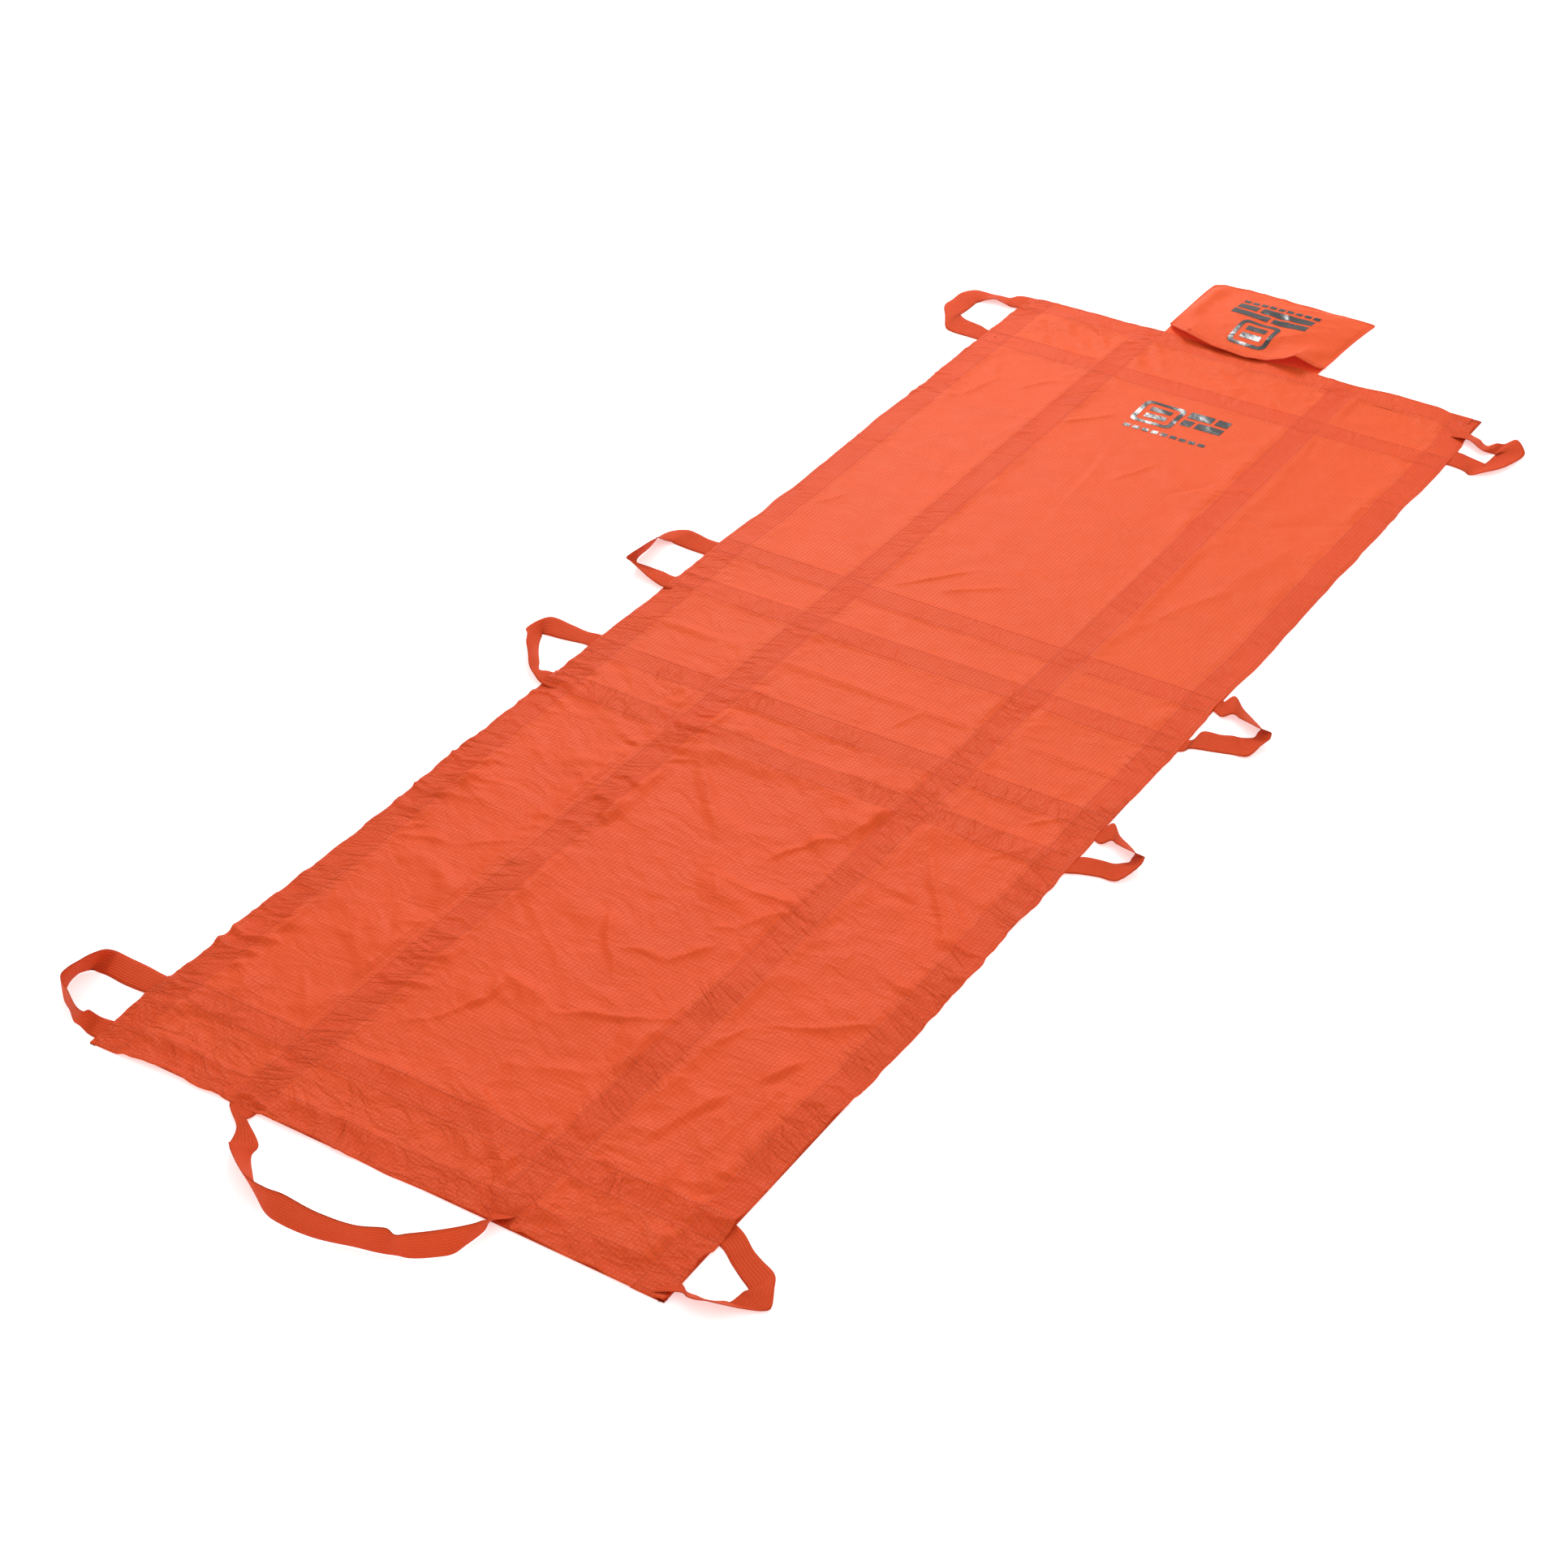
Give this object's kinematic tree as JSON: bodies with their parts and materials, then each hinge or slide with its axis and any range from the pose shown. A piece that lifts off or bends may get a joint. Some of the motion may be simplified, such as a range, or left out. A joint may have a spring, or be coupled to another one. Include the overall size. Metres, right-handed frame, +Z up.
{
  "type": "folding stretcher",
  "caption": "Soft folding rescue stretcher: a nylon sheet on a sewn webbing grid, with side carrying loops, a foot drag loop and a storage pouch.",
  "frame": {"origin": "bottom centre of the whole object lying flat, on the surface it rests on", "axes": "+X to the right across the sheet, +Y along the sheet to the head and the pouch, +Z up"},
  "size_m": [0.9, 2.29, 0.028],
  "materials": {
    "sheet_nylon": "thin ripstop nylon, slightly glossy",
    "webbing": "flat ribbed webbing, satin",
    "thread": "sewing thread, matt",
    "pouch_nylon": "thin ripstop nylon, slightly glossy",
    "pouch_binding": "folded nylon hem, slightly glossy",
    "print": "printed ink, slightly glossy"
  },
  "bodies": {
    "head_centre": {"sheet_head_centre": "sheet_nylon", "long_webbing_head_left": "webbing", "long_webbing_head_right": "webbing", "strap_head_hem_centre": "webbing", "strap_head_cross_centre": "webbing", "strap_mid_a_upper_centre": "webbing", "strap_mid_a_lower_centre": "webbing", "sheet_print": "print", "stitching_head_centre": "thread"},
    "foot_centre": {"sheet_foot_centre": "sheet_nylon", "long_webbing_foot_left": "webbing", "long_webbing_foot_right": "webbing", "strap_mid_b_upper_centre": "webbing", "strap_mid_b_lower_centre": "webbing", "strap_foot_cross_centre": "webbing", "strap_foot_hem_centre": "webbing", "stitching_foot_centre": "thread"},
    "head_left": {"sheet_head_left": "sheet_nylon", "edge_webbing_head_left": "webbing", "strap_head_hem_left": "webbing", "strap_head_cross_left": "webbing", "strap_mid_a_upper_left": "webbing", "strap_mid_a_lower_left": "webbing", "stitching_head_left": "thread"},
    "foot_left": {"sheet_foot_left": "sheet_nylon", "edge_webbing_foot_left": "webbing", "strap_mid_b_upper_left": "webbing", "strap_mid_b_lower_left": "webbing", "strap_foot_cross_left": "webbing", "strap_foot_hem_left": "webbing", "stitching_foot_left": "thread"},
    "head_right": {"sheet_head_right": "sheet_nylon", "edge_webbing_head_right": "webbing", "strap_head_hem_right": "webbing", "strap_head_cross_right": "webbing", "strap_mid_a_upper_right": "webbing", "strap_mid_a_lower_right": "webbing", "stitching_head_right": "thread"},
    "foot_right": {"sheet_foot_right": "sheet_nylon", "edge_webbing_foot_right": "webbing", "strap_mid_b_upper_right": "webbing", "strap_mid_b_lower_right": "webbing", "strap_foot_cross_right": "webbing", "strap_foot_hem_right": "webbing", "stitching_foot_right": "thread"},
    "head_grip_left": {"head_handle_left": "webbing"},
    "head_grip_right": {"head_handle_right": "webbing"},
    "mid_a_grip_left": {"mid_a_handle_left": "webbing"},
    "mid_a_grip_right": {"mid_a_handle_right": "webbing"},
    "mid_b_grip_left": {"mid_b_handle_left": "webbing"},
    "mid_b_grip_right": {"mid_b_handle_right": "webbing"},
    "foot_grip_left": {"foot_handle_left": "webbing"},
    "foot_grip_right": {"foot_handle_right": "webbing"},
    "drag_grip": {"drag_handle": "webbing"},
    "pouch": {"pouch_back": "pouch_nylon", "pouch_edge_binding": "pouch_binding", "pouch_mouth_hem": "pouch_binding", "pouch_front": "pouch_nylon", "pouch_print": "print"}
  },
  "joints": [
    {"name": "half_fold", "type": "hinge", "parent": "head_centre", "child": "foot_centre", "pos_m": [0, -0.069, 0.0036], "axis": [-1, 0, 0], "range_deg": [0, 175]},
    {"name": "left_fold", "type": "hinge", "parent": "head_centre", "child": "head_left", "pos_m": [-0.175, 0, 0.0036], "axis": [0, -1, 0], "range_deg": [-172, 0]},
    {"name": "right_fold", "type": "hinge", "parent": "head_centre", "child": "head_right", "pos_m": [0.175, 0, 0.0036], "axis": [0, 1, 0], "range_deg": [-172, 0]},
    {"name": "foot_left_fold", "type": "hinge", "parent": "foot_centre", "child": "foot_left", "pos_m": [-0.175, 0, 0.0036], "axis": [0, -1, 0], "range_deg": [-172, 0]},
    {"name": "foot_right_fold", "type": "hinge", "parent": "foot_centre", "child": "foot_right", "pos_m": [0.175, 0, 0.0036], "axis": [0, 1, 0], "range_deg": [-172, 0]},
    {"name": "head_grip_left_fold", "type": "hinge", "parent": "head_left", "child": "head_grip_left", "pos_m": [-0.35, 0.8745, 0.0036], "axis": [0, -1, 0], "range_deg": [-178, 0]},
    {"name": "head_grip_right_fold", "type": "hinge", "parent": "head_right", "child": "head_grip_right", "pos_m": [0.35, 0.8745, 0.0036], "axis": [0, 1, 0], "range_deg": [-178, 0]},
    {"name": "mid_a_grip_left_fold", "type": "hinge", "parent": "head_left", "child": "mid_a_grip_left", "pos_m": [-0.35, 0.071, 0.0036], "axis": [0, -1, 0], "range_deg": [-178, 0]},
    {"name": "mid_a_grip_right_fold", "type": "hinge", "parent": "head_right", "child": "mid_a_grip_right", "pos_m": [0.35, 0.071, 0.0036], "axis": [0, 1, 0], "range_deg": [-178, 0]},
    {"name": "mid_b_grip_left_fold", "type": "hinge", "parent": "foot_left", "child": "mid_b_grip_left", "pos_m": [-0.35, -0.204, 0.0036], "axis": [0, -1, 0], "range_deg": [-178, 0]},
    {"name": "mid_b_grip_right_fold", "type": "hinge", "parent": "foot_right", "child": "mid_b_grip_right", "pos_m": [0.35, -0.204, 0.0036], "axis": [0, 1, 0], "range_deg": [-178, 0]},
    {"name": "foot_grip_left_fold", "type": "hinge", "parent": "foot_left", "child": "foot_grip_left", "pos_m": [-0.35, -0.973, 0.0036], "axis": [0, -1, 0], "range_deg": [-178, 0]},
    {"name": "foot_grip_right_fold", "type": "hinge", "parent": "foot_right", "child": "foot_grip_right", "pos_m": [0.35, -0.973, 0.0036], "axis": [0, 1, 0], "range_deg": [-178, 0]},
    {"name": "drag_fold", "type": "hinge", "parent": "foot_centre", "child": "drag_grip", "pos_m": [0, -1.035, 0.0036], "axis": [-1, 0, 0], "range_deg": [0, 178]},
    {"name": "pouch_lift", "type": "hinge", "parent": "head_centre", "child": "pouch", "pos_m": [0, 0.955, 0.0036], "axis": [1, 0, 0], "range_deg": [0, 90]}
  ],
  "couplings": [
    {"joint": "foot_left_fold", "follows": "left_fold", "ratio": 1},
    {"joint": "foot_right_fold", "follows": "right_fold", "ratio": 1}
  ]
}
